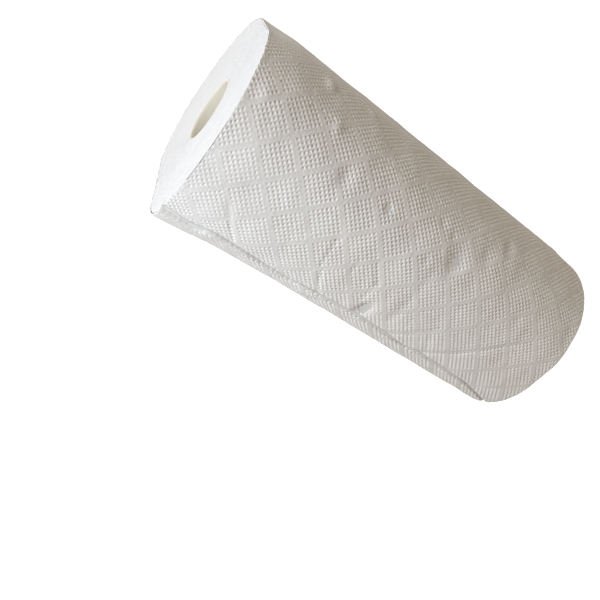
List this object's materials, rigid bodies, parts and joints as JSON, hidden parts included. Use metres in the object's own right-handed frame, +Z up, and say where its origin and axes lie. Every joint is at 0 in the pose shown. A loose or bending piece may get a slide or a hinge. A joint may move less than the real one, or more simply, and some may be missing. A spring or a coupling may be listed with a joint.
{
  "type": "paper towel roll",
  "caption": "White embossed paper towel roll on a smooth board core, squashed out of round, with its loose end down one side.",
  "frame": {"origin": "on the core's axis, at the bottom end that the roll stands on", "axes": "+Z up the core towards the end that the picture shows; -Y is the side that faces the picture's camera; the loose end of the paper is at the front left, and -X is the flat side that the roll lay on"},
  "size_m": [0.1224, 0.1407, 0.264],
  "materials": {
    "embossed_paper": "soft white tissue, embossed with fields of dots between plain diagonal bands",
    "core_board": "smooth cream board with faint spiral seams"
  },
  "bodies": {
    "root": {"paper_roll": "embossed_paper", "core_tube": "core_board"}
  },
  "joints": []
}
